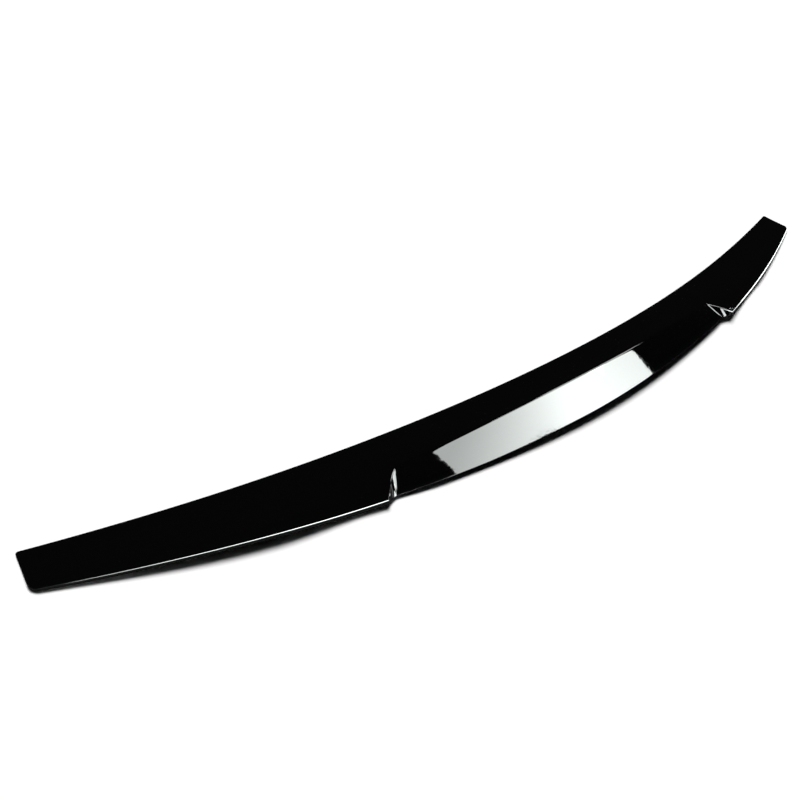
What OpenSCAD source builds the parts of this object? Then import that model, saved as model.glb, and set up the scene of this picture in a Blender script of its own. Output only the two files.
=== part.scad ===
// Boot lid spoiler, one moulded shell that is open underneath.
// It is bonded along the rear edge of a car's boot lid by the flat land round its underside.
// X runs across the car, +Y points to the front of the car and +Z points up.
// The part lies on the plane z = 0 on its two ends and on the middle of its rear edge.
// The origin is on that plane, under the middle of the part.
//
// Each cross section is a ring of points, and the shell is the loft through all the rings.
// A place in a section is written [depth, height], where depth runs rearwards from the line
// through the two front corners.

/* [Plan] */
// Width between the two front corners
span = 1240; // [1120:10:1360]
// How far each rear corner lies outside its front corner
end_rake = 4.1; // [0:0.1:8]
// How far the middle of the front edge lies behind its corners
front_sweep = 81.4; // [60:0.1:100]
// How strongly the front edge straightens towards its ends
front_flare = 0.9; // [0.3:0.01:2]
// Length of the end cut, from the front corner to the rear corner
end_chord = 44.6; // [36:0.1:56]
// Radius of the front corners, seen from above
front_corner_r = 3.5; // [1:0.5:6]
// Radius of the rear corners, seen from above
rear_corner_r = 7; // [2:0.5:10]

/* [Seat on the boot lid] */
// Height of the front edge in the middle of the car
front_crown = 20; // [5:0.5:35]
// Height of the seat at each notch, above the plane that the part lies on
heel_height = 6.9; // [2:0.1:12]
// Width of the land behind the front edge
front_land = 14; // [9:0.5:20]
// Width of the land along the rear edge
rear_land = 8; // [6:0.5:12]
// Width of the solid land at each end
end_land = 15; // [8:0.5:30]

/* [Middle section] */
// Half the distance between the two notches, at the inner ends of their walls
notch_x = 280.1; // [220:0.1:340]
// Depth of the part in the middle, from the front edge to the bottom edge
mid_chord = 76.4; // [66:0.1:90]
// Depth of the top strip in the middle, from the front edge to the crease
mid_strip = 42; // [30:0.1:50]
// Height of the crease in the middle
crease_height = 33.4; // [28:0.1:42]
// Depth of the top strip where the crease ends at a notch
notch_strip = 47.4; // [40:0.1:52]
// Height of the crease where it ends at a notch
notch_height = 20.4; // [17:0.1:26]
// Height of the blunt bottom edge of the rear face
toe_height = 1.2; // [0.6:0.1:2]

/* [Notches] */
// How far the foot of a notch wall runs outwards
notch_foot_run = 14.3; // [8:0.1:24]
// How far the top of a notch wall runs outwards beyond its foot
notch_wall_run = 14.6; // [8:0.1:24]
// How far the top edge of a notch wall bows forwards from a straight line, seen from above
notch_bow = 2.8; // [0:0.1:4]
// Depth of the part at the foot of a notch wall
heel_chord = 73.2; // [66:0.1:78]

/* [Wings] */
// Depth of the wing at its inner end, from the front edge to the lip
lip_chord = 79.8; // [74:0.1:88]
// Height of the lip at its inner end
lip_height = 15.6; // [13:0.1:22]
// Height of the lip at its outer end
lip_end_height = 4.8; // [4:0.1:8]
// How far the lip bows outwards from a straight line, seen from above
lip_bow = 6.6; // [0:0.1:12]
// Height of the lip's rear face at its inner end
lip_face = 6.8; // [3:0.1:8]
// Height of the lip's rear face at its outer end
lip_end_face = 3.2; // [2:0.1:3.6]
// How far the lower edge of that face lies behind its upper edge
lip_lean = 0.7; // [0:0.1:2]
// How far the lip hangs over the rear land at the outer end
end_overhang = 1.2; // [0.4:0.1:3]

/* [Wall and edges] */
// Wall thickness of the shell
wall = 2.6; // [2:0.1:4]
// Thickness of the front edge
nose_t = 2.5; // [1.6:0.1:4]
// How far the top strip is hollowed in the middle
strip_sag = 1.6; // [0:0.1:4]
// How far the top is crowned where the crease ends at a notch
notch_crown = 2.4; // [0:0.1:4]
// How far the top is crowned at the lip's inner end
lip_crown = 3.4; // [0:0.1:5]
// Distance along the wing in which that crown fades to about a third
crown_fade = 70; // [40:1:120]
// How far the wing's top is hollowed at its outer end
wing_sag = 0.3; // [0:0.1:1]
// Fillet along the crease
crease_r = 2.5; // [0.5:0.1:5]
// Fillet along the upper edge of the lip
lip_r = 2; // [0.5:0.1:3]
// Fillet along the upper edge of a notch wall
notch_r = 1.4; // [0.4:0.1:2.5]
// Fillet along the foot of a notch wall
notch_foot_r = 3; // [1:0.1:4]
// Fillet along the lower edge of the lip
foot_r = 1.2; // [0.4:0.1:2]

/* [Ribs] */
// Distance between the ribs under the shell
rib_pitch = 70; // [50:1:120]
// Half the width of the part that has ribs
ribbed_half = 490; // [300:10:530]
// Thickness of a rib at its free edge
rib_t = 2; // [1.5:0.1:3]
// How much a moulded side leans, from its free edge to its root
draft = 0.4; // [0.2:0.05:1]
// Gap between a rib's free edge and the boot lid
rib_gap = 0.8; // [0.2:0.1:3]

/* [Hidden] */

gloss_black = [0.004, 0.004, 0.0045];
half = span / 2;
heel_x = notch_x + notch_foot_run;
lip_x = heel_x + notch_wall_run;
tip_x = half + end_rake;

// The crease fillet and the rear face's upper part narrow over this width beside a notch
notch_blend = 25;
// Share of the rear face above the point where its upper and lower parts join
face_split = 0.35;
face_split_notch = 0.05;
// Points in each stretch of a section
nose_steps = 4;
strip_steps = 6;
edge_steps = 6;
wall_steps = 3;
foot_steps = 3;
face_steps = 3;
rise_steps = 2;
roof_steps = 4;
// A stretch leaves its last point this many fillet radii short of the fillet's corner
edge_hold = 1.4;
// Largest share of a side that one fillet may use
fillet_share = 0.45;
// Smallest distance between the roof's highest line and the rear land
ridge_gap = 1;
// Smallest distance between two bends in the roof of the hollow, and between a bend and a land
bend_gap = 0.2;
// Two roof slopes that differ by less than this make no bend
slope_gap = 0.02;
// Least length that anything is divided by
tiny = 0.001;
// Distance between rings where nothing else asks for one
ring_pitch = 30;
// Rings closer together than this become one
ring_min = 0.1;
// How far along the end the rings stand that round its corners, as shares of the radius
corner_shares = [0, 0.08, 0.2, 0.34, 0.5, 0.8, 1.2, 1.6];
// Height that the upper edge of the end cut loses in the last ring, and where that starts
end_round = 0.5;

function mix(a, b, t) = a + (b - a) * t;
function clamp(v, low, high) = max(low, min(high, v));
function ramp(v, from, to) = clamp((v - from) / (to - from), 0, 1);

// Runs from 0 to 1, round in the middle of the car and straighter towards the ends
function bowed(u, flare) = (sqrt(1 + pow(flare * u, 2)) - 1) / (sqrt(1 + flare * flare) - 1);

// Front edge, at distance x from the middle of the car
function front_depth(x) = front_sweep * (1 - bowed(x / half, front_flare));
function front_seat(x) = front_crown * (1 + cos(180 * min(1, x / half))) / 2;

// The end cut leans outwards, so the rear of a ring stands further out than its front
function skew(x) = end_rake * pow(x / half, 12);

// Crease of the middle section
function crease(x) =
    let (u2 = pow(x / notch_x, 2),
         depth_mid = front_depth(0) + mid_strip,
         depth_notch = front_depth(notch_x) + notch_strip)
    [mix(depth_mid, depth_notch, u2), mix(crease_height, notch_height, u2)];

// Bottom edge of the middle section's rear face
function bottom_edge(x) =
    let (u2 = pow(x / heel_x, 2),
         depth_mid = front_depth(0) + mid_chord,
         depth_heel = front_depth(heel_x) + heel_chord)
    [mix(depth_mid, depth_heel, u2), heel_height * u2];

// Upper edge of the wing's lip
function lip(x) =
    let (s = (x - lip_x) / (tip_x - lip_x),
         depth_in = front_depth(lip_x) + lip_chord)
    [mix(depth_in, end_chord, s) + lip_bow * 4 * s * (1 - s), mix(lip_height, lip_end_height, s)];

// Lower edge of the lip's rear face
function lip_low(x) =
    let (s = (x - lip_x) / (tip_x - lip_x))
    lip(x) + [lip_lean, -mix(lip_face, lip_end_face, s)];

// Rear edge of the seat: the bottom edge in the middle, and under the lip on the wings
function seat_edge(x) =
    x <= heel_x
    ? bottom_edge(x)
    : let (s = (x - heel_x) / (tip_x - heel_x),
           overhang = mix(lip(heel_x)[0] - bottom_edge(heel_x)[0], end_overhang, s))
      [lip(x)[0] - overhang, heel_height * (1 + cos(180 * min(1, s))) / 2];

// Upper edge of a section: crease, top of a notch wall, or lip
function upper_edge(x) =
    x <= notch_x ? crease(x)
    : x < lip_x ? notch_top((x - notch_x) / (lip_x - notch_x))
    : lip(x);

// Top edge of a notch wall, from the end of the crease at 0 to the corner of the lip at 1
function notch_top(s) = mix(crease(notch_x), lip(lip_x), s) - [notch_bow * 4 * s * (1 - s), 0];

// Share of the rear face that lies above its inner point
function face_share(x) = mix(face_split, face_split_notch, ramp(x, notch_x - notch_blend, notch_x));

// Inner point of a section's rear: on the rear face, at the foot of a notch wall, or the lip's
// lower edge
function face_point(x) =
    x <= notch_x ? mix(crease(x), bottom_edge(x) + [0, toe_height], face_share(x))
    : x <= heel_x
    ? mix(face_point(notch_x), bottom_edge(heel_x) + [0, toe_height],
          (x - notch_x) / (heel_x - notch_x))
    : x < lip_x
    ? mix(bottom_edge(heel_x) + [0, toe_height], lip_low(lip_x), (x - heel_x) / (lip_x - heel_x))
    : lip_low(x);

function toe(x) = mix(toe_height, toe_height / 4, ramp(x, heel_x, lip_x));

function upper_r(x) =
    x <= notch_x ? mix(crease_r, notch_r, ramp(x, notch_x - notch_blend, notch_x))
    : mix(notch_r, lip_r, ramp(x, notch_x, lip_x)) * mix(1, lip_end_face / lip_face, ramp(x, lip_x, tip_x));

function lower_r(x) =
    x <= heel_x ? notch_foot_r : mix(notch_foot_r, foot_r, ramp(x, heel_x, lip_x));

// How far the top stands above a straight line from the front edge to the upper edge
function crown(x) =
    x <= notch_x ? mix(-strip_sag, notch_crown, pow(x / notch_x, 2))
    : x < lip_x ? mix(notch_crown, lip_crown, (x - notch_x) / (lip_x - notch_x))
    : (lip_crown + wing_sag) * exp((lip_x - x) / crown_fade) - wing_sag;

// Height of the top at share t of the way from its start to the upper edge
function top_height(x, start, top, t) = mix(start[1], top[1], t) + crown(x) * 4 * t * (1 - t);

// How much a corner of radius r takes off at distance from_end from the end cut
function corner_cut(r, from_end) = from_end >= r ? 0 : r - sqrt(r * r - pow(r - from_end, 2));

// Quadratic curve that rounds the corner c between the points a and b
function rounded(a, c, b, r, steps) =
    let (p = c + (a - c) * r / max(tiny, norm(a - c)),
         q = c + (b - c) * r / max(tiny, norm(b - c)))
    [for (i = [0 : steps])
        let (t = i / steps)
        p * pow(1 - t, 2) + c * 2 * t * (1 - t) + q * t * t];

// Ribs stand at every whole pitch and a half
rib_count = floor(ribbed_half / rib_pitch + 0.5);
rib_places = [for (i = [0 : rib_count - 1]) rib_pitch * (i + 0.5)];
function at_rib(x) = len([for (p = rib_places) if (abs(x - p) <= rib_t / 2 + ring_min / 2) p]) > 0;

// One section, as a ring of [depth, height] points that starts at the foot of the front edge
function section(x) =
    let (from_end = half - x,
         rear_x = x + skew(x),
         in_front = corner_cut(front_corner_r, from_end),
         in_rear = [corner_cut(rear_corner_r, from_end), 0],
         top_cut = [0, end_round * (1 - ramp(from_end, 0, end_round))],
         front = front_depth(x) + in_front,
         seat_front = front_seat(x),
         top = upper_edge(rear_x) - in_rear - top_cut,
         inner = face_point(rear_x) - in_rear,
         seat_rear = seat_edge(rear_x) - in_rear,
         toe_top = seat_rear + [0, toe(x)],
         nose = [for (i = [0 : nose_steps])
             let (turn = -90 + 180 * i / nose_steps)
             [front + nose_t / 2 * (1 - cos(turn)),
              seat_front + (nose_t - top_cut[1]) / 2 * (1 + sin(turn))]],
         start = nose[nose_steps],
         radius = min(upper_r(x), fillet_share * norm(inner - top)),
         strip_len = top[0] - start[0],
         strip_end = 1 - edge_hold * radius / strip_len,
         strip = [for (i = [1 : strip_steps])
             let (t = strip_end * i / strip_steps)
             [mix(start[0], top[0], t), top_height(x, start, top, t)]],
         edge = rounded(strip[strip_steps - 1], top, inner, radius, edge_steps),
         foot = rounded(top, inner, toe_top,
                        min(lower_r(x), fillet_share * min(norm(inner - top), norm(toe_top - inner))),
                        foot_steps),
         side = [for (i = [1 : wall_steps - 1]) mix(edge[edge_steps], foot[0], i / wall_steps)],
         face = [for (i = [1 : face_steps]) mix(foot[foot_steps], toe_top, i / face_steps)])
    concat(nose, strip, edge, side, foot, face, [seat_rear],
           underside(x, front, seat_front, start, top, inner, toe_top, seat_rear));

// How far the inside of a wall lies below its outside, where the outside slopes
function drop(slope) = wall * sqrt(1 + slope * slope);

// Underside of a section, from the rear land forwards to the front land
function underside(x, front, seat_front, start, top, inner, toe_top, seat_rear) =
    let (low_end = front + front_land,
         high_end = seat_rear[0] - rear_land,
         root = high_end - draft,
         rise = (top[1] - start[1] - 4 * crown(x)) / (top[0] - start[0]),
         fall = (top[1] - inner[1]) / (inner[0] - top[0]),
         face_fall = (inner[1] - toe_top[1]) / max(tiny, toe_top[0] - inner[0]),
         ridge = min(top[0] + (drop(rise) - drop(fall)) / (rise + fall), high_end - ridge_gap),
         bend = abs(fall - face_fall) < slope_gap || x > heel_x
             ? mix(root, ridge, 0.5)
             : inner[0] + (drop(face_fall) - drop(fall)) / (fall - face_fall),
         valley = clamp(bend, ridge + bend_gap, root - bend_gap),
         depths = concat([for (i = [0 : rise_steps - 1]) mix(root, valley, i / rise_steps)],
                         [for (i = [0 : rise_steps - 1]) mix(valley, ridge, i / rise_steps)],
                         [for (i = [0 : roof_steps]) mix(ridge, low_end + draft, i / roof_steps)]))
    concat([[high_end, seat_height(high_end, front, seat_front, seat_rear)]],
           [for (d = depths)
               let (seat = seat_height(d, front, seat_front, seat_rear),
                    t = (d - start[0]) / (top[0] - start[0]),
                    under_strip = top_height(x, start, top, t) - drop(rise),
                    under_wall = top[1] - fall * (d - top[0]) - drop(fall),
                    under_face = inner[1] - face_fall * (d - inner[0]) - drop(face_fall),
                    under_rear = x < heel_x ? max(under_wall, under_face) : under_wall,
                    roof = min(under_strip, under_rear),
                    limit = half - x < end_land ? seat : at_rib(x) ? seat + rib_gap : roof)
               [d, max(seat, min(roof, limit))]],
           [[low_end, seat_height(low_end, front, seat_front, seat_rear)]]);

// Height of the boot lid's surface under a section
function seat_height(d, front, seat_front, seat_rear) =
    mix(seat_front, seat_rear[1], (d - front) / (seat_rear[0] - front));

// Distances from the middle of the car at which a ring stands
function sorted(list) =
    len(list) <= 1 ? list
    : let (pivot = list[floor(len(list) / 2)])
      concat(sorted([for (v = list) if (v < pivot) v]),
             [for (v = list) if (v == pivot) v],
             sorted([for (v = list) if (v > pivot) v]));
function spaced(list, i = 1, kept = []) =
    let (keep = len(kept) == 0 ? [list[0]] : kept)
    i >= len(list) ? keep
    : spaced(list, i + 1,
             list[i] - keep[len(keep) - 1] > ring_min ? concat(keep, [list[i]]) : keep);
rib_sides = [for (p = rib_places) for (side = [-1, 1]) for (out = [0, draft])
    p + side * (rib_t / 2 + out)];
feature_places = [notch_x - notch_blend, notch_x - notch_blend / 2, notch_x, heel_x, lip_x,
                  half - end_land, half - end_land - draft];
notch_places = concat([for (i = [1 : 5]) mix(notch_x, heel_x, i / 6)],
                      [for (i = [1 : 5]) mix(heel_x, lip_x, i / 6)]);
corner_places = [for (share = corner_shares) half - share * rear_corner_r];
grid_places = [for (i = [0 : floor(half / ring_pitch)]) i * ring_pitch];
right_places = spaced(sorted(concat(rib_sides, feature_places, notch_places, corner_places,
                                    [for (g = grid_places) if (g < half - 2 * rear_corner_r) g])));
ring_places = concat([for (i = [len(right_places) - 1 : -1 : 1]) -right_places[i]], right_places);

// Depth of the origin: half way between the foremost and the rearmost point
all_fronts = [for (x = right_places) front_depth(x) + corner_cut(front_corner_r, half - x)];
origin_depth = (min(all_fronts) + front_depth(0) + mid_chord) / 2;

// A ring in space
function ring(place) =
    let (x = abs(place),
         points = section(x),
         front = front_depth(x),
         rear = upper_edge(x)[0])
    [for (p = points)
        [sign(place) * (x + skew(x) * (p[0] - front) / (rear - front)), origin_depth - p[0], p[1]]];

// The whole shell: rings side by side, and a fan of triangles that closes each end
module spoiler() {
    rings = [for (place = ring_places) ring(place)];
    size = len(rings[0]);
    last = len(rings) - 1;
    left_hub = (rings[0][0] + rings[0][nose_steps + strip_steps + edge_steps]) / 2;
    right_hub = (rings[last][0] + rings[last][nose_steps + strip_steps + edge_steps]) / 2;
    points = concat([for (r = rings) for (p = r) p], [left_hub, right_hub]);
    hubs = size * (last + 1);
    sides = [for (j = [0 : last - 1]) for (i = [0 : size - 1])
        let (a = j * size + i,
             b = j * size + (i + 1) % size)
        each [[a, b, b + size], [a, b + size, a + size]]];
    left_end = [for (i = [0 : size - 1]) [hubs, (i + 1) % size, i]];
    right_end = [for (i = [0 : size - 1]) [hubs + 1, last * size + i, last * size + (i + 1) % size]];
    color(gloss_black)
        polyhedron(points, concat(sides, left_end, right_end), convexity = 6);
}

spoiler();
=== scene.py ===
# %% [markdown]
# # A boot lid spoiler in piano black
# The real part is one plastic shell, moulded open underneath and painted gloss black on top.
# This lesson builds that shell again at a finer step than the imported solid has, because a mirror
# finish shows every facet. Then it gives the shell its paint and its bare underside, and sets up
# the small studio in which gloss black becomes readable: dark all round, with a few bright panels.

import math

import bpy
import numpy as np
from mathutils import Matrix, Quaternion, Vector


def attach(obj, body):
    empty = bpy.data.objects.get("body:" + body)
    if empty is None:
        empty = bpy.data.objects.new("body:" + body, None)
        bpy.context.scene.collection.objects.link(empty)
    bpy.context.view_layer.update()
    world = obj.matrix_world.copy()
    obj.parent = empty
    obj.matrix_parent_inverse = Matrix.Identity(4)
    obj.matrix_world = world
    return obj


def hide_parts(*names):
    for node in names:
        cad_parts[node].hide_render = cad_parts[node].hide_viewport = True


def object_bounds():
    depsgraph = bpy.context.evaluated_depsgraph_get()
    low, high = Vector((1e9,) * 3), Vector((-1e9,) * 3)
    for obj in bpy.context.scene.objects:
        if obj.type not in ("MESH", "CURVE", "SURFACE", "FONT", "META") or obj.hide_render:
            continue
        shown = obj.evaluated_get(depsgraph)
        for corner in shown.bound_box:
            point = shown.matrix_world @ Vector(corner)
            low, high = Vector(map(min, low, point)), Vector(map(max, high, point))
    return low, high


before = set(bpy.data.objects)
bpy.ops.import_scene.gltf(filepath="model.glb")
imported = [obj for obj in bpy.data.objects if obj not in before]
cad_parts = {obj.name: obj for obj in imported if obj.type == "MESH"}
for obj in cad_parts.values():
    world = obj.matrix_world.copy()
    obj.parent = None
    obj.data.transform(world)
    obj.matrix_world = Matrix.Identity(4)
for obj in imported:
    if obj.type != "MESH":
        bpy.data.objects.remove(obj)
cad_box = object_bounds()
MM = 0.001
print("packed nodes:", sorted(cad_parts))
print("packed box, mm:", [[round(v / MM, 1) for v in corner] for corner in cad_box])

# %% [markdown]
# ## The camera
# The camera comes first, because a gloss surface is shaped by where it is seen from. It stands
# behind the car's left corner and looks down along the part, leaning a little to one side.

# %% Camera
AIM = Vector((-0.2085, 0.0472, 0.010))
EYE = Vector((-0.6823, -0.3765, 0.6419))
LEAN = math.radians(-13.21)
LENS_MM = 36.0
SENSOR_MM = 36.0


def aimed(eye, aim, lean):
    """A camera's place: it stands at eye, looks at aim and leans sideways by that angle"""
    turn = (aim - eye).to_track_quat("-Z", "Y").to_matrix().to_4x4()
    return Matrix.Translation(eye) @ turn @ Matrix.Rotation(-lean, 4, "Z")


camera = bpy.data.objects.new("camera", bpy.data.cameras.new("camera"))
camera.data.lens = LENS_MM
camera.data.sensor_width = SENSOR_MM
camera.matrix_world = aimed(EYE, AIM, LEAN)
bpy.context.scene.collection.objects.link(camera)
bpy.context.scene.camera = camera
bpy.context.scene.view_settings.view_transform = "Standard"
print("camera looks from", tuple(camera.location), "at", tuple(AIM))

# %% [markdown]
# ## The lines that shape the shell
# A body part is drawn by a few long lines: front edge, crease, lip and bottom edge. Each line is a
# function of x, the distance from the car's middle, and gives [depth, height] in millimetres, with
# depth running rearwards from the front corners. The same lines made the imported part, so the fine
# shell lies on it to within 0.4 mm.

# %% Plan
SPAN = 1240
END_RAKE = 4.1
RAKE_POWER = 12
FRONT_SWEEP = 81.4
FRONT_FLARE = 0.9
END_CHORD = 44.6
FRONT_CORNER_R = 3.5
REAR_CORNER_R = 7
FRONT_CROWN = 20
HEEL_HEIGHT = 6.9
HALF = SPAN / 2
TIP_X = HALF + END_RAKE
ARCH_SLOPE = 4


def mix(a, b, t):
    return a + (b - a) * t


def ramp(v, low, high):
    return min(1, max(0, (v - low) / (high - low)))


def arch(t):
    """Rises from 0 at both ends of a stretch to 1 in its middle, and is steepest at the ends"""
    return ARCH_SLOPE * t * (1 - t)


def eased(t):
    """Falls from 1 to 0 over a stretch, is level at both its ends and stays 0 after it"""
    return (1 + math.cos(math.pi * min(1, t))) / 2


def place(depth, height):
    return np.array([depth, height], float)


def front_depth(x):
    """Front edge: round in the middle of the car and straighter towards the ends"""
    bow = math.sqrt(1 + (FRONT_FLARE * x / HALF) ** 2) - 1
    return FRONT_SWEEP * (1 - bow / (math.sqrt(1 + FRONT_FLARE ** 2) - 1))


def front_seat(x):
    return FRONT_CROWN * eased(x / HALF)


def skew(x):
    """The end cut leans outwards, so the rear of a section stands further out than its front"""
    return END_RAKE * (x / HALF) ** RAKE_POWER


print("front edge, mm behind the corners:", [round(front_depth(x), 1) for x in (0, 200, 400, 620)])

# %% Middle section, notches and wings
NOTCH_X = 280.1
HEEL_X = NOTCH_X + 14.3
LIP_X = HEEL_X + 14.6
NOTCH_BOW = 2.8
MID_CHORD = 76.4
MID_STRIP = 42.0
CREASE_HEIGHT = 33.4
NOTCH_STRIP = 47.4
NOTCH_HEIGHT = 20.4
TOE_HEIGHT = 1.2
WING_TOE_HEIGHT = 0.3
HEEL_CHORD = 73.2
LIP_CHORD = 79.8
LIP_HEIGHT = 15.6
LIP_END_HEIGHT = 4.8
LIP_BOW = 6.6
LIP_FACE = 6.8
LIP_END_FACE = 3.2
LIP_LEAN = 0.7
END_OVERHANG = 1.2


def crease(x):
    u2 = (x / NOTCH_X) ** 2
    middle = place(front_depth(0) + MID_STRIP, CREASE_HEIGHT)
    notch = place(front_depth(NOTCH_X) + NOTCH_STRIP, NOTCH_HEIGHT)
    return mix(middle, notch, u2)


def bottom_edge(x):
    u2 = (x / HEEL_X) ** 2
    middle = place(front_depth(0) + MID_CHORD, 0)
    heel = place(front_depth(HEEL_X) + HEEL_CHORD, HEEL_HEIGHT)
    return mix(middle, heel, u2)


def lip(x):
    s = (x - LIP_X) / (TIP_X - LIP_X)
    inner_end = place(front_depth(LIP_X) + LIP_CHORD, LIP_HEIGHT)
    outer_end = place(END_CHORD, LIP_END_HEIGHT)
    return mix(inner_end, outer_end, s) + place(LIP_BOW * arch(s), 0)


def lip_low(x):
    s = (x - LIP_X) / (TIP_X - LIP_X)
    return lip(x) + place(LIP_LEAN, -mix(LIP_FACE, LIP_END_FACE, s))


def notch_top(x):
    s = (x - NOTCH_X) / (LIP_X - NOTCH_X)
    return mix(crease(NOTCH_X), lip(LIP_X), s) - place(NOTCH_BOW * arch(s), 0)


def seat_edge(x):
    """Rear edge of the seat: the bottom edge in the middle, and under the lip on the wings"""
    if x <= HEEL_X:
        return bottom_edge(x)
    s = (x - HEEL_X) / (TIP_X - HEEL_X)
    overhang = mix(lip(HEEL_X)[0] - bottom_edge(HEEL_X)[0], END_OVERHANG, s)
    return place(lip(x)[0] - overhang, HEEL_HEIGHT * eased(s))


def upper_edge(x):
    return crease(x) if x <= NOTCH_X else notch_top(x) if x < LIP_X else lip(x)


print("crease runs from", crease(0).round(1), "to", crease(NOTCH_X).round(1))
print("lip runs from", lip(LIP_X).round(1), "to", lip(TIP_X).round(1))

# %% [markdown]
# ## One cross section
# A section is drawn as a polygon, and each corner has a rounding: how far from the corner, along its
# two sides, the curve starts. A rounding of 0 leaves a plain point. Such points stand close to the
# ends of the roundings on the crease, the notch walls and the lips. They hold the neighbouring faces
# flat, so that the mirror paint shows a straight reflection with a narrow bright edge, as a moulded
# corner has.

# %% Wall, edges and ribs
WALL = 2.6
NOSE_T = 2.5
STRIP_SAG = 1.6
NOTCH_CROWN = 2.4
LIP_CROWN = 3.4
CROWN_FADE = 70
WING_SAG = 0.3
FACE_HOLLOW = 0.3
CREASE_R = 2.5
LIP_R = 2.0
NOTCH_R = 1.4
NOTCH_FOOT_R = 3.0
FOOT_R = 1.2
NOTCH_BLEND = 25
FACE_SPLIT = 0.35
FACE_SPLIT_NOTCH = 0.05
FRONT_LAND = 14
REAR_LAND = 8
END_LAND = 15
DRAFT = 0.4
RIB_PITCH = 70
RIBBED_HALF = 490
RIB_T = 2.0
RIB_GAP = 0.8
RIB_PLACES = [RIB_PITCH * (i + 0.5) for i in range(round(RIBBED_HALF / RIB_PITCH))]
HOLD = 1.4
TINY = 0.001
STRIP_POINTS = 8
FACE_POINTS = 4
WALL_POINTS = 3
ROOF_POINTS = 4


def face_point(x):
    """Inner point of a section's rear: on the rear face, at a notch wall's foot, or under the lip"""
    toe_lift = place(0, TOE_HEIGHT)
    heel = bottom_edge(HEEL_X) + toe_lift
    if x <= NOTCH_X:
        share = mix(FACE_SPLIT, FACE_SPLIT_NOTCH, ramp(x, NOTCH_X - NOTCH_BLEND, NOTCH_X))
        return mix(crease(x), bottom_edge(x) + toe_lift, share)
    if x <= HEEL_X:
        return mix(face_point(NOTCH_X), heel, (x - NOTCH_X) / (HEEL_X - NOTCH_X))
    if x < LIP_X:
        return mix(heel, lip_low(LIP_X), (x - HEEL_X) / (LIP_X - HEEL_X))
    return lip_low(x)


def upper_rounding(x):
    if x <= NOTCH_X:
        return mix(CREASE_R, NOTCH_R, ramp(x, NOTCH_X - NOTCH_BLEND, NOTCH_X))
    outward = mix(1, LIP_END_FACE / LIP_FACE, ramp(x, LIP_X, TIP_X))
    return mix(NOTCH_R, LIP_R, ramp(x, NOTCH_X, LIP_X)) * outward


def lower_rounding(x):
    return mix(NOTCH_FOOT_R, FOOT_R, ramp(x, HEEL_X, LIP_X))


def crown(x):
    """How far the top stands above a straight line from the front edge to the upper edge"""
    if x <= NOTCH_X:
        return mix(-STRIP_SAG, NOTCH_CROWN, (x / NOTCH_X) ** 2)
    if x < LIP_X:
        return mix(NOTCH_CROWN, LIP_CROWN, (x - NOTCH_X) / (LIP_X - NOTCH_X))
    return (LIP_CROWN + WING_SAG) * math.exp((LIP_X - x) / CROWN_FADE) - WING_SAG


def corner_cut(r, from_end):
    """How much a corner of radius r takes off at that distance from the end cut"""
    return 0 if from_end >= r else r - math.sqrt(r * r - (r - from_end) ** 2)


def length(v):
    return max(TINY, math.hypot(*v))


def at_rib(x):
    return any(abs(x - rib) <= RIB_T / 2 + TINY for rib in RIB_PLACES)


print("ribs on each side, mm from the middle:", RIB_PLACES)

# %% Upper half of a section
# The shares are parts of a side's length. The first three are the most that a rounding takes of a
# side, and the others say where the plain points stand that hold a face flat.
END_ROUND = 0.5
LAND_EDGE_R = 0.3
NOSE_SHARE = 0.49
SHARED_SIDE = 0.45
FREE_SIDE = 0.95
STRIP_START = 0.03
FACE_END = 0.97
HOLD_SHARE = 0.5
FOOT_HOLD_SHARE = 0.4


def outer_corners(x):
    """Corners [depth, height, rounding] from the foot of the front edge over the top to the toe"""
    from_end = HALF - x
    rear_x = x + skew(x)
    cut = place(corner_cut(REAR_CORNER_R, from_end), 0)
    top_cut = place(0, END_ROUND * (1 - ramp(from_end, 0, END_ROUND)))
    front = place(front_depth(x) + corner_cut(FRONT_CORNER_R, from_end), front_seat(x))
    start = front + place(NOSE_T / 2, NOSE_T) - top_cut
    top = upper_edge(rear_x) - cut - top_cut
    inner = face_point(rear_x) - cut
    seat_rear = seat_edge(rear_x) - cut
    toe = seat_rear + place(0, mix(TOE_HEIGHT, WING_TOE_HEIGHT, ramp(x, HEEL_X, LIP_X)))
    wall = length(inner - top)
    foot = length(toe - inner)
    top_r = min(upper_rounding(x), SHARED_SIDE * wall)
    foot_r = min(lower_rounding(x), SHARED_SIDE * wall, SHARED_SIDE * foot)
    rise = crown(x)
    strip_end = 1 - HOLD * top_r / length(top - start)
    nose_r = NOSE_SHARE * NOSE_T
    corners = [[*front, nose_r], [*(front + place(0, NOSE_T) - top_cut), nose_r]]
    for i in range(STRIP_POINTS + 1):
        t = mix(STRIP_START, strip_end, i / STRIP_POINTS)
        corners.append([*(mix(start, top, t) + place(0, rise * arch(t))), 0])
    corners.append([*top, top_r])

    def hollowed(point):
        """The rear face is hollow by a hair, as a moulded face is, and flat again at the heel"""
        share = ramp(point[0], top[0], toe[0])
        depth = FACE_HOLLOW * (1 - ramp(x, NOTCH_X, HEEL_X)) * arch(share)
        across = (toe - top) / length(toe - top)
        return point - depth * place(-across[1], across[0])

    first = min(HOLD_SHARE, HOLD * top_r / wall)
    last = 1 - min(FOOT_HOLD_SHARE, HOLD * foot_r / wall)
    for i in range(WALL_POINTS + 1):
        corners.append([*hollowed(mix(top, inner, mix(first, last, i / WALL_POINTS))), 0])
    corners.append([*hollowed(inner), foot_r])
    first = min(HOLD_SHARE, HOLD * foot_r / foot)
    for i in range(FACE_POINTS):
        share = mix(first, FACE_END, i / (FACE_POINTS - 1))
        corners.append([*hollowed(mix(inner, toe, share)), 0])
    corners.append([*toe, LAND_EDGE_R])
    corners.append([*seat_rear, LAND_EDGE_R])
    return corners, front, start, top, inner, toe, seat_rear, rise


print("corners over the top:", len(outer_corners(0)[0]))

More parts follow.
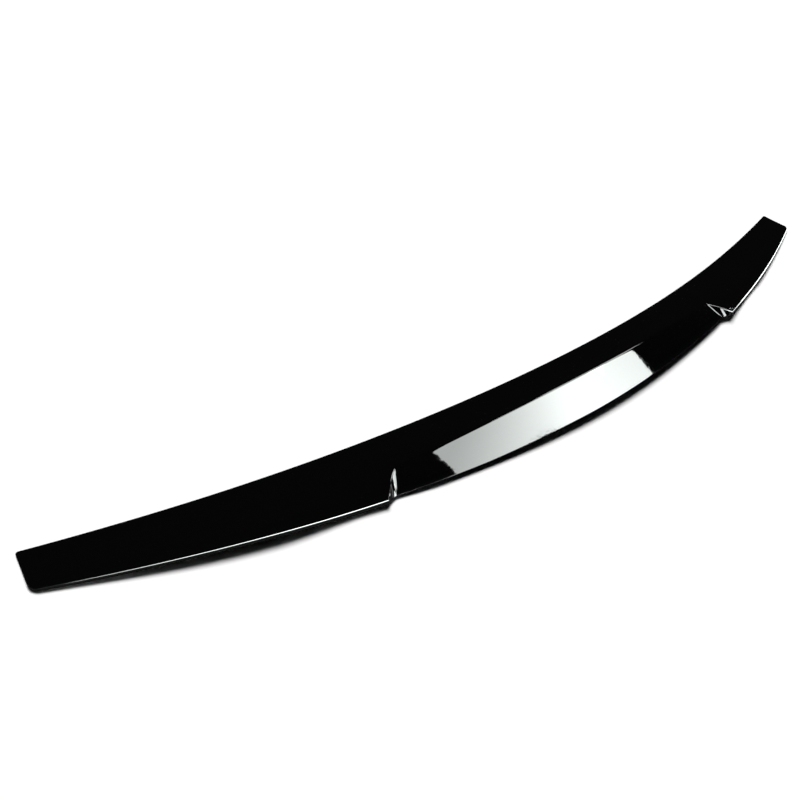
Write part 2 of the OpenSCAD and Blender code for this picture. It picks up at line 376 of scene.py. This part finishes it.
# %% [markdown]
# ## The hollow underside
# The mould's core gives the shell an even wall, so the roof of the hollow is the outer skin moved
# down by the wall thickness. A flat land stays round the rim, where adhesive tape would go, and thin
# ribs cross the hollow. A rib is only a section whose roof comes down almost to the seat.

# %% Lower half of a section
RIDGE_GAP = 1
VALLEY_GAP = 0.2
SLOPE_STEP = 0.02
BEND_POINTS = 2


def dropped(slope):
    """How far the inside of a sloping wall lies below its outside"""
    return WALL * math.sqrt(1 + slope * slope)


def under_corners(x, front, start, top, inner, toe, seat_rear, crowned):
    """Corners of the hollow, from the rear land to the front land. At the ridge the insides of the
    top and of the rear wall meet, and in the valley those of the rear wall and of the face below"""
    low_end = front[0] + FRONT_LAND
    high_end = seat_rear[0] - REAR_LAND
    rise = (top[1] - start[1] - ARCH_SLOPE * crowned) / (top[0] - start[0])
    fall = (top[1] - inner[1]) / max(TINY, inner[0] - top[0])
    face_fall = (inner[1] - toe[1]) / max(TINY, toe[0] - inner[0])
    ridge = min(top[0] + (dropped(rise) - dropped(fall)) / (rise + fall), high_end - RIDGE_GAP)
    bend = mix(high_end - DRAFT, ridge, 0.5)
    if x <= HEEL_X and abs(fall - face_fall) >= SLOPE_STEP:
        bend = inner[0] + (dropped(face_fall) - dropped(fall)) / (fall - face_fall)
    valley = min(high_end - DRAFT - VALLEY_GAP, max(ridge + VALLEY_GAP, bend))

    def seat(depth):
        return mix(front[1], seat_rear[1], (depth - front[0]) / (seat_rear[0] - front[0]))

    def roof(depth):
        t = (depth - start[0]) / (top[0] - start[0])
        under_strip = mix(start[1], top[1], t) + crowned * arch(t) - dropped(rise)
        under_wall = top[1] - fall * (depth - top[0]) - dropped(fall)
        under_face = inner[1] - face_fall * (depth - inner[0]) - dropped(face_fall)
        skin = min(under_strip, max(under_wall, under_face) if x < HEEL_X else under_wall)
        if HALF - x < END_LAND:
            skin = seat(depth)
        elif at_rib(x):
            skin = min(skin, seat(depth) + RIB_GAP)
        return max(seat(depth), skin)

    depths = [mix(high_end - DRAFT, valley, i / BEND_POINTS) for i in range(BEND_POINTS)]
    depths += [mix(valley, ridge, i / BEND_POINTS) for i in range(BEND_POINTS)]
    depths += [mix(ridge, low_end + DRAFT, i / ROOF_POINTS) for i in range(ROOF_POINTS + 1)]
    corners = [[high_end, seat(high_end), LAND_EDGE_R]]
    for i, depth in enumerate(depths):
        corners.append([depth, roof(depth), LAND_EDGE_R if i in (0, len(depths) - 1) else 0])
    corners.append([low_end, seat(low_end), LAND_EDGE_R])
    return corners


def limited(corners):
    """The same corners, with each rounding short enough for the sides beside it"""
    last = len(corners) - 1
    for i, corner in enumerate(corners):
        for other in (corners[i - 1], corners[i + 1 if i < last else 0]):
            side = length(np.subtract(corner[:2], other[:2]))
            corner[2] = min(corner[2], side * (SHARED_SIDE if other[2] else FREE_SIDE))
    return corners


def section(x):
    outside, *lines = outer_corners(x)
    return limited(outside + under_corners(x, *lines))


OUTER_COUNT = len(outer_corners(0)[0])
CORNER_COUNT = len(section(0))
print("corners in a section:", CORNER_COUNT)

# %% [markdown]
# ## Where the sections stand
# Long calm stretches need few sections. They crowd together where the shape turns quickly: at the
# notches, on both sides of each rib, and round the corners of the end cuts.

# %% Stations along the car
CALM_STEP = 5.0
NOTCH_STEP = 0.75
ZONE_BEFORE = 5
ZONE_AFTER = 8
NOTCH_ZONE = (NOTCH_X - NOTCH_BLEND - ZONE_BEFORE, LIP_X + ZONE_AFTER)
END_ZONE = 12.0
END_SECTIONS = 24
MIN_STEP = 0.05


def stations():
    """Where the sections of one half stand, in millimetres from the middle"""
    places = list(np.arange(0, HALF - END_ZONE, CALM_STEP))
    places += list(np.arange(*NOTCH_ZONE, NOTCH_STEP))
    places += [NOTCH_X, HEEL_X, LIP_X, HALF - END_LAND - DRAFT, HALF - END_LAND]
    for rib in RIB_PLACES:
        places += [rib + side * (RIB_T / 2 + out) for side in (-1, 1) for out in (0, DRAFT)]
    for i in range(END_SECTIONS + 1):
        places.append(HALF - END_ZONE * (1 - math.sin(math.pi / 2 * i / END_SECTIONS)))
    kept = []
    for x in sorted(places):
        if not kept or x - kept[-1] > MIN_STEP:
            kept.append(x)
    return kept


right_half = stations()
all_stations = [-x for x in reversed(right_half[1:])] + right_half
print("sections:", len(all_stations))

# %% Corner points in space
# The bottom edge is rearmost in the middle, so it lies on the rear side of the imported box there.
origin_depth = front_depth(0) + MID_CHORD + cad_box[0][1] / MM


def corner_cloud(places):
    """Every section's corners in metres, with a hub at each end that closes the shell"""
    points = []
    roundings = []
    for at in places:
        x = abs(at)
        corners = section(x)
        front = corners[0][0]
        rear = upper_edge(x)[0]
        ring = []
        for depth, height, rounding in corners:
            across = x + skew(x) * (depth - front) / (rear - front)
            ring.append([math.copysign(across, at), origin_depth - depth, height])
            roundings.append(rounding)
        points.append(ring)
    points = np.array(points)
    hubs = [points[i].mean(axis=0, keepdims=True).repeat(CORNER_COUNT, axis=0) for i in (0, -1)]
    points = np.concatenate([hubs[:1], points, hubs[1:]])
    flat = [0] * CORNER_COUNT
    return points.reshape(-1, 3) * MM, np.array(flat + roundings + flat) * MM


cloud, roundings = corner_cloud(all_stations)
print("corner points:", len(cloud), "front edge at y =", round(cloud[:, 1].max(), 4))

# %% [markdown]
# ## Geometry Nodes round the corners and lay the skin
# The corner points go into a node tree. It makes a flat grid with one row for each section, finds
# for each grid point its corner and that corner's two neighbours, and moves the point onto the
# quadratic curve that rounds this corner. A tree suits this because one rule serves all the
# corners, and its inputs, such as the number of steps in a rounding, can be changed without
# touching the lines.

# %% Helpers for node trees


def node(tree, kind, inputs=None, **settings):
    """A new node. inputs maps a socket's name or number to a value or to another node's output"""
    made = tree.nodes.new(kind)
    for name, value in settings.items():
        setattr(made, name, value)
    for name, value in (inputs or {}).items():
        socket = made.inputs[name]
        if isinstance(value, bpy.types.NodeSocket):
            tree.links.new(value, socket)
        else:
            socket.default_value = value
    return made


def whole(tree, operation, a, b):
    """Integer maths on two numbers or outputs"""
    return node(tree, "FunctionNodeIntegerMath", {0: a, 1: b}, operation=operation).outputs[0]


def sums(tree, operation, a, b):
    """Plain maths on two numbers or outputs"""
    return node(tree, "ShaderNodeMath", {0: a, 1: b}, operation=operation).outputs[0]


def blended(tree, a, b, share):
    """A place between two places. Inputs 4 and 5 of a Mix node are its two vectors"""
    made = node(tree, "ShaderNodeMix", data_type="VECTOR")
    for socket, value in ((made.inputs[0], share), (made.inputs[4], a), (made.inputs[5], b)):
        tree.links.new(value, socket)
    return made.outputs[1]


# %% Node tree that makes the skin


def skin_tree():
    """A tree that lays one closed skin over the sections' corners and gives it its two materials"""
    tree = bpy.data.node_groups.new("skin_over_sections", "GeometryNodeTree")
    face = tree.interface
    face.new_socket("Corner Points", in_out="INPUT", socket_type="NodeSocketGeometry")
    for name in ("Sections", "Corners", "Steps", "Outer Corners"):
        face.new_socket(name, in_out="INPUT", socket_type="NodeSocketInt")
    face.new_socket("Merge Distance", in_out="INPUT", socket_type="NodeSocketFloat")
    face.new_socket("Sharp Angle", in_out="INPUT", socket_type="NodeSocketFloat")
    face.new_socket("Paint", in_out="INPUT", socket_type="NodeSocketMaterial")
    face.new_socket("Bare Plastic", in_out="INPUT", socket_type="NodeSocketMaterial")
    face.new_socket("Skin", in_out="OUTPUT", socket_type="NodeSocketGeometry")
    given = node(tree, "NodeGroupInput").outputs
    result = node(tree, "NodeGroupOutput")

    per_corner = whole(tree, "ADD", given["Steps"], 1)
    ring = whole(tree, "MULTIPLY", given["Corners"], per_corner)
    row = whole(tree, "ADD", ring, 1)
    grid = node(tree, "GeometryNodeMeshGrid",
                {"Vertices X": given["Sections"], "Vertices Y": row})

    index = node(tree, "GeometryNodeInputIndex").outputs[0]
    section_no = whole(tree, "DIVIDE_FLOOR", index, row)
    along = whole(tree, "MODULO", whole(tree, "MODULO", index, row), ring)
    corner_no = whole(tree, "DIVIDE_FLOOR", along, per_corner)
    step_no = whole(tree, "MODULO", along, per_corner)
    t = sums(tree, "DIVIDE", step_no, given["Steps"])
    first = whole(tree, "MULTIPLY", section_no, given["Corners"])

    def corner_index(shift):
        turned = whole(tree, "ADD", corner_no, whole(tree, "ADD", given["Corners"], shift))
        return whole(tree, "ADD", first, whole(tree, "MODULO", turned, given["Corners"]))

    def sampled(value, at, data_type):
        made = node(tree, "GeometryNodeSampleIndex", data_type=data_type, domain="POINT")
        tree.links.new(given["Corner Points"], made.inputs["Geometry"])
        tree.links.new(value, made.inputs["Value"])
        tree.links.new(at, made.inputs["Index"])
        return made.outputs[0]

    position = node(tree, "GeometryNodeInputPosition").outputs[0]
    before, here, after = [sampled(position, corner_index(i), "FLOAT_VECTOR") for i in (-1, 0, 1)]
    rounding = node(tree, "GeometryNodeInputNamedAttribute", {"Name": "rounding"},
                    data_type="FLOAT").outputs[0]
    reach = sampled(rounding, corner_index(0), "FLOAT")

    def curve_end(other):
        side = node(tree, "ShaderNodeVectorMath", {0: here, 1: other}, operation="DISTANCE")
        longer = sums(tree, "MAXIMUM", side.outputs["Value"], TINY * MM)
        share = sums(tree, "DIVIDE", reach, longer)
        return blended(tree, here, other, share)

    come, leave = curve_end(before), curve_end(after)
    curve = blended(tree, blended(tree, come, here, t), blended(tree, here, leave, t), t)
    bent = node(tree, "GeometryNodeSetPosition", {"Geometry": grid.outputs["Mesh"], "Position": curve})

    face_along = whole(tree, "MODULO", index, ring)
    outer = whole(tree, "MULTIPLY", given["Outer Corners"], per_corner)
    # Inputs 2 and 3 of a Compare node are its two whole numbers.
    is_outer = node(tree, "FunctionNodeCompare", {2: face_along, 3: outer},
                    data_type="INT", operation="LESS_THAN").outputs[0]
    bare = node(tree, "GeometryNodeSetMaterial",
                {"Geometry": bent.outputs[0], "Material": given["Bare Plastic"]})
    painted = node(tree, "GeometryNodeSetMaterial",
                   {"Geometry": bare.outputs[0], "Selection": is_outer, "Material": given["Paint"]})
    merged = node(tree, "GeometryNodeMergeByDistance",
                  {"Geometry": painted.outputs[0], "Distance": given["Merge Distance"]})
    angle = node(tree, "GeometryNodeInputMeshEdgeAngle").outputs["Unsigned Angle"]
    sharp = sums(tree, "GREATER_THAN", angle, given["Sharp Angle"])
    smooth = node(tree, "GeometryNodeSetShadeSmooth", {"Geometry": merged.outputs[0]}, domain="FACE")
    creased = node(tree, "GeometryNodeSetShadeSmooth",
                   {"Geometry": smooth.outputs[0], "Selection": sharp, "Shade Smooth": False},
                   domain="EDGE")
    outwards = node(tree, "GeometryNodeFlipFaces", {"Mesh": creased.outputs[0]})
    tree.links.new(outwards.outputs[0], result.inputs["Skin"])
    return tree


skin = skin_tree()
print("nodes in the skin tree:", len(skin.nodes))

# %% [markdown]
# ## Paint and bare plastic
# The top wears a deep black base with clear lacquer over it. Sprayed lacquer isn't quite flat: it
# has a very shallow waviness, which makes the edge of a reflection ragged. Underneath the moulding
# is bare, with the fine texture of the mould.

# %% Shared effect: a shallow waviness of the surface


def waviness_group():
    """Puts out a height between 0 and 1 that wanders smoothly over the surface"""
    tree = bpy.data.node_groups.new("surface_waviness", "ShaderNodeTree")
    face = tree.interface
    for name in ("Bumps per Metre", "Detail"):
        face.new_socket(name, in_out="INPUT", socket_type="NodeSocketFloat")
    face.new_socket("Height", in_out="OUTPUT", socket_type="NodeSocketFloat")
    given = node(tree, "NodeGroupInput").outputs
    result = node(tree, "NodeGroupOutput")
    where = node(tree, "ShaderNodeTexCoord").outputs["Object"]
    noise = node(tree, "ShaderNodeTexNoise",
                 {"Vector": where, "Scale": given["Bumps per Metre"], "Detail": given["Detail"]})
    tree.links.new(noise.outputs["Fac"], result.inputs["Height"])
    return tree


waviness = waviness_group()


def waved(tree, bumps_per_metre, detail, strength, distance):
    """A normal that follows the shared waviness, for a material's node tree"""
    group = node(tree, "ShaderNodeGroup", node_tree=waviness)
    group.inputs["Bumps per Metre"].default_value = bumps_per_metre
    group.inputs["Detail"].default_value = detail
    bump = node(tree, "ShaderNodeBump",
                {"Height": group.outputs["Height"], "Strength": strength, "Distance": distance})
    return bump.outputs["Normal"]


print("shared effect:", waviness.name)

# %% Materials
PAINT_BLACK = (0.0012, 0.0012, 0.0013, 1)
PAINT_ROUGHNESS = 0.03
LACQUER_ROUGHNESS = 0.01
LACQUER_WAVES = {"bumps_per_metre": 240, "detail": 3, "strength": 0.9, "distance": 0.00002}
PLASTIC_BLACK = (0.012, 0.012, 0.012, 1)
PLASTIC_ROUGHNESS = 0.42
MOULD_TEXTURE = {"bumps_per_metre": 1400, "detail": 3, "strength": 0.35, "distance": 0.0001}


def new_material(name):
    material = bpy.data.materials.new(name)
    material.use_nodes = True
    return material, material.node_tree, material.node_tree.nodes["Principled BSDF"]


def piano_black():
    material, tree, shader = new_material("piano_black_paint")
    shader.inputs["Base Color"].default_value = PAINT_BLACK
    shader.inputs["Roughness"].default_value = PAINT_ROUGHNESS
    shader.inputs["Coat Weight"].default_value = 1
    shader.inputs["Coat Roughness"].default_value = LACQUER_ROUGHNESS
    tree.links.new(waved(tree, **LACQUER_WAVES), shader.inputs["Normal"])
    return material


def bare_plastic():
    material, tree, shader = new_material("bare_black_plastic")
    shader.inputs["Base Color"].default_value = PLASTIC_BLACK
    shader.inputs["Roughness"].default_value = PLASTIC_ROUGHNESS
    tree.links.new(waved(tree, **MOULD_TEXTURE), shader.inputs["Normal"])
    return material


paint = piano_black()
plastic = bare_plastic()
print("materials:", paint.name, plastic.name)

# %% Make the shell
ROUNDING_STEPS = 6
MERGE_DISTANCE = 0.000002
SHARP_ANGLE = math.radians(28)


def inputs_by_name(modifier, values):
    """Sets a node modifier's inputs, finding each by its socket's identifier"""
    for item in modifier.node_group.interface.items_tree:
        if item.item_type == "SOCKET" and item.in_out == "INPUT" and item.name in values:
            modifier[item.identifier] = values[item.name]


def baked(source, name):
    """The evaluated shape of an object as a plain mesh object of its own"""
    graph = bpy.context.evaluated_depsgraph_get()
    mesh = bpy.data.meshes.new_from_object(source.evaluated_get(graph))
    while mesh.materials and mesh.materials[0] is None:
        mesh.materials.pop(index=0)
    bpy.data.objects.remove(source)
    made = bpy.data.objects.new(name, mesh)
    bpy.context.scene.collection.objects.link(made)
    return made


points = bpy.data.meshes.new("corner_points")
points.from_pydata([tuple(p) for p in cloud], [], [])
points.attributes.new("rounding", "FLOAT", "POINT").data.foreach_set("value", roundings)
sections = bpy.data.objects.new("sections", points)
bpy.context.scene.collection.objects.link(sections)
layer = sections.modifiers.new("skin", "NODES")
layer.node_group = skin
inputs_by_name(layer, {
    "Sections": len(cloud) // CORNER_COUNT,
    "Corners": CORNER_COUNT,
    "Steps": ROUNDING_STEPS,
    "Outer Corners": OUTER_COUNT,
    "Merge Distance": MERGE_DISTANCE,
    "Sharp Angle": SHARP_ANGLE,
    "Paint": paint,
    "Bare Plastic": plastic,
})
shell = baked(sections, "spoiler_shell")
print("shell:", len(shell.data.vertices), "points,", len(shell.data.polygons), "faces",
      [m.name for m in shell.data.materials])
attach(shell, "root")
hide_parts("spoiler")

# %% [markdown]
# ## Floor and background
# The part lies on a plain white floor, a sheet of backdrop paper with waves of up to 12 mm. It sags
# under the part's middle, so that the shadow there comes out from under the bottom edge, and rises
# beside the notches, where the shadow is narrow. The paper is an ordinary diffuse white that the
# plain light brings just up to white, so the shadow stays on it. To a mirrored ray its colour is
# painted almost dark, a painted shade that the part's lower faces reflect instead of the lit paper. To
# the camera the backdrop is white all round. A mirrored
# ray finds it white only near the horizon, and above that a dark studio, because that is what makes
# gloss black look black.

# %% Floor
FLOOR_WHITE = 0.9
# The floor's colour as mirrored rays see it: a painted dark reflection, far darker than the lit paper.
FLOOR_PAINTED_DARK_REFLECTION = 0.06
FLOOR_ROUGHNESS = 0.9


def floor_material():
    material, tree, shader = new_material("studio_floor")
    mirrored = node(tree, "ShaderNodeLightPath").outputs["Is Glossy Ray"]
    # A mirrored ray gets a painted dark colour here: painted shade in the part's reflections of the
    # floor.
    seen = node(tree, "ShaderNodeMapRange", {
        "Value": mirrored, "To Min": FLOOR_WHITE, "To Max": FLOOR_PAINTED_DARK_REFLECTION}).outputs["Result"]
    tree.links.new(seen, shader.inputs["Base Color"])
    shader.inputs["Roughness"].default_value = FLOOR_ROUGHNESS
    shader.inputs["Specular IOR Level"].default_value = 0
    return material


FLOOR_REACH = 30
WAVES = [
    {"middle": 0.04, "reach": 0.36, "height": -0.0122},
    {"middle": -0.33, "reach": 0.10, "height": 0.0052},
    {"middle": -0.47, "reach": 0.15, "height": -0.0035},
    {"middle": 0.36, "reach": 0.10, "height": 0.0060},
]
WAVES_FROM = -0.64
WAVES_TO = 0.52
WAVE_STRIPS = 80


def paper_height(x):
    """The paper is flat, but for a few shallow waves across it"""
    return sum(wave["height"] * eased(abs(x - wave["middle"]) / wave["reach"]) for wave in WAVES)


strips = [mix(WAVES_FROM, WAVES_TO, i / WAVE_STRIPS) for i in range(WAVE_STRIPS + 1)]
strips = [-FLOOR_REACH] + strips + [FLOOR_REACH]
edge_points = [(x, y, paper_height(x)) for x in strips for y in (-FLOOR_REACH, FLOOR_REACH)]
quads = [(2 * i, 2 * i + 2, 2 * i + 3, 2 * i + 1) for i in range(len(strips) - 1)]
sheet = bpy.data.meshes.new("floor")
sheet.from_pydata(edge_points, [], quads)
sheet.shade_smooth()
sheet.materials.append(floor_material())
floor = bpy.data.objects.new("floor", sheet)
bpy.context.scene.collection.objects.link(floor)
print("floor, metres across:", floor.dimensions[0])

# %% World: white at the horizon, dark above it
HORIZON_FROM = math.sin(math.radians(2))
HORIZON_TO = math.sin(math.radians(5))
STUDIO_DARK = 0.004


def studio_world():
    world = bpy.data.worlds.new("studio")
    world.use_nodes = True
    tree = world.node_tree
    background = tree.nodes["Background"]
    direction = node(tree, "ShaderNodeTexCoord").outputs["Generated"]
    height = node(tree, "ShaderNodeSeparateXYZ", {0: direction}).outputs["Z"]
    low = node(tree, "ShaderNodeMapRange", {
        "Value": height, "From Min": HORIZON_FROM, "From Max": HORIZON_TO,
        "To Min": 1, "To Max": STUDIO_DARK}, interpolation_type="SMOOTHSTEP").outputs["Result"]
    ray = node(tree, "ShaderNodeLightPath").outputs
    mirrored = sums(tree, "MAXIMUM", ray["Is Glossy Ray"], ray["Is Transmission Ray"])
    seen = sums(tree, "MAXIMUM", ray["Is Camera Ray"], sums(tree, "MULTIPLY", mirrored, low))
    tree.links.new(seen, background.inputs["Strength"])
    background.inputs["Color"].default_value = (1, 1, 1, 1)
    return world


bpy.context.scene.world = studio_world()
print("world:", bpy.context.scene.world.name)

# %% [markdown]
# ## Lamps
# Two kinds of lamp share the work. One plain light, a wide and soft sun, gives the floor and the
# shell their ordinary light and isn't mirrored. Softboxes are only mirrored: a gloss black part
# shows little else, so each bright area on it is the picture of one softbox, and the softbox's
# place follows from the mirror's law.

# %% Plain light
SUN_HEIGHT = math.radians(64)
SUN_FROM = math.radians(72)
SUN_WIDTH = math.radians(32)
FLOOR_LEVEL = 1.04
SUN_STRENGTH = FLOOR_LEVEL / FLOOR_WHITE * math.pi / math.sin(SUN_HEIGHT)


def direction_to(azimuth, height):
    """The direction at that azimuth, counted from +X towards +Y, and that height over the floor"""
    flat = math.cos(height)
    return Vector((flat * math.cos(azimuth), flat * math.sin(azimuth), math.sin(height)))


sun = bpy.data.objects.new("plain_light", bpy.data.lights.new("plain_light", "SUN"))
sun.data.energy = SUN_STRENGTH
sun.data.angle = SUN_WIDTH
sun.visible_glossy = False
sun.rotation_mode = "QUATERNION"
sun.rotation_quaternion = (-direction_to(SUN_FROM, SUN_HEIGHT)).to_track_quat("-Z", "Y")
bpy.context.scene.collection.objects.link(sun)
print("plain light strength:", round(sun.data.energy, 2))

# %% Softboxes
CLOTH_TINT = (0.95, 1, 0.975, 1)


def softbox(name, stands_at, looks_at, width, height, lean, bright,
            hot=None, dim=None, reach=None, fade=None):
    """A panel that is only seen mirrored. With hot given, its cloth is brightest there and fades to
    dim at the distance reach"""
    lamp = bpy.data.lights.new(name, "AREA")
    lamp.shape = "RECTANGLE"
    lamp.size = width
    lamp.size_y = height
    # With this power the cloth is as bright as the strength of its emission says.
    lamp.energy = math.pi * width * height
    lamp.use_nodes = True
    tree = lamp.node_tree
    emission = tree.nodes["Emission"]
    emission.inputs["Strength"].default_value = bright
    emission.inputs["Color"].default_value = CLOTH_TINT
    if hot is not None:
        where = node(tree, "ShaderNodeNewGeometry").outputs["Position"]
        away = node(tree, "ShaderNodeVectorMath", {0: where, 1: hot}, operation="DISTANCE")
        near = node(tree, "ShaderNodeMapRange", {
            "Value": away.outputs["Value"], "From Min": 0, "From Max": reach,
            "To Min": 1, "To Max": 0}).outputs["Result"]
        shaped = sums(tree, "POWER", near, fade)
        level = node(tree, "ShaderNodeMath", {0: shaped, 1: bright - dim, 2: dim},
                     operation="MULTIPLY_ADD").outputs[0]
        tree.links.new(level, emission.inputs["Strength"])
    made = bpy.data.objects.new(name, lamp)
    made.location = stands_at
    made.rotation_mode = "QUATERNION"
    facing = (Vector(looks_at) - Vector(stands_at)).to_track_quat("-Z", "Y")
    made.rotation_quaternion = facing @ Quaternion((0, 0, 1), lean)
    made.visible_camera = False
    made.visible_diffuse = False
    bpy.context.scene.collection.objects.link(made)
    return made


softboxes = [
    softbox("key_softbox", stands_at=(0.329, -0.532, 0.410), looks_at=(-0.395, -0.713, -0.323),
            width=0.186, height=0.684, lean=0.221, bright=12.1,
            hot=(0.447, -0.539, 0.270), dim=5.1, reach=0.458, fade=1.386),
    softbox("left_softbox", stands_at=(-0.612, -0.748, 1.016), looks_at=(-0.650, 0.201, 0.422),
            width=1.586, height=0.844, lean=-0.759, bright=25,
            hot=(-0.043, -0.81, 0.758), dim=0.74, reach=1.063, fade=0.173),
    softbox("right_softbox", stands_at=(1.399, 0.0, 0.258), looks_at=(0.211, 0.358, 0.008),
            width=0.501, height=0.419, lean=0.401, bright=12),
    softbox("low_softbox", stands_at=(0.223, -0.301, 0.323), looks_at=(-0.648, -0.279, 0.015),
            width=0.032, height=0.380, lean=0.272, bright=7.5),
    softbox("notch_softbox", stands_at=(0.765, -0.402, 0.696), looks_at=(0.534, -0.179, 0.386),
            width=0.213, height=0.479, lean=0.403, bright=6.0),
]
print("softboxes:", [box.name for box in softboxes])
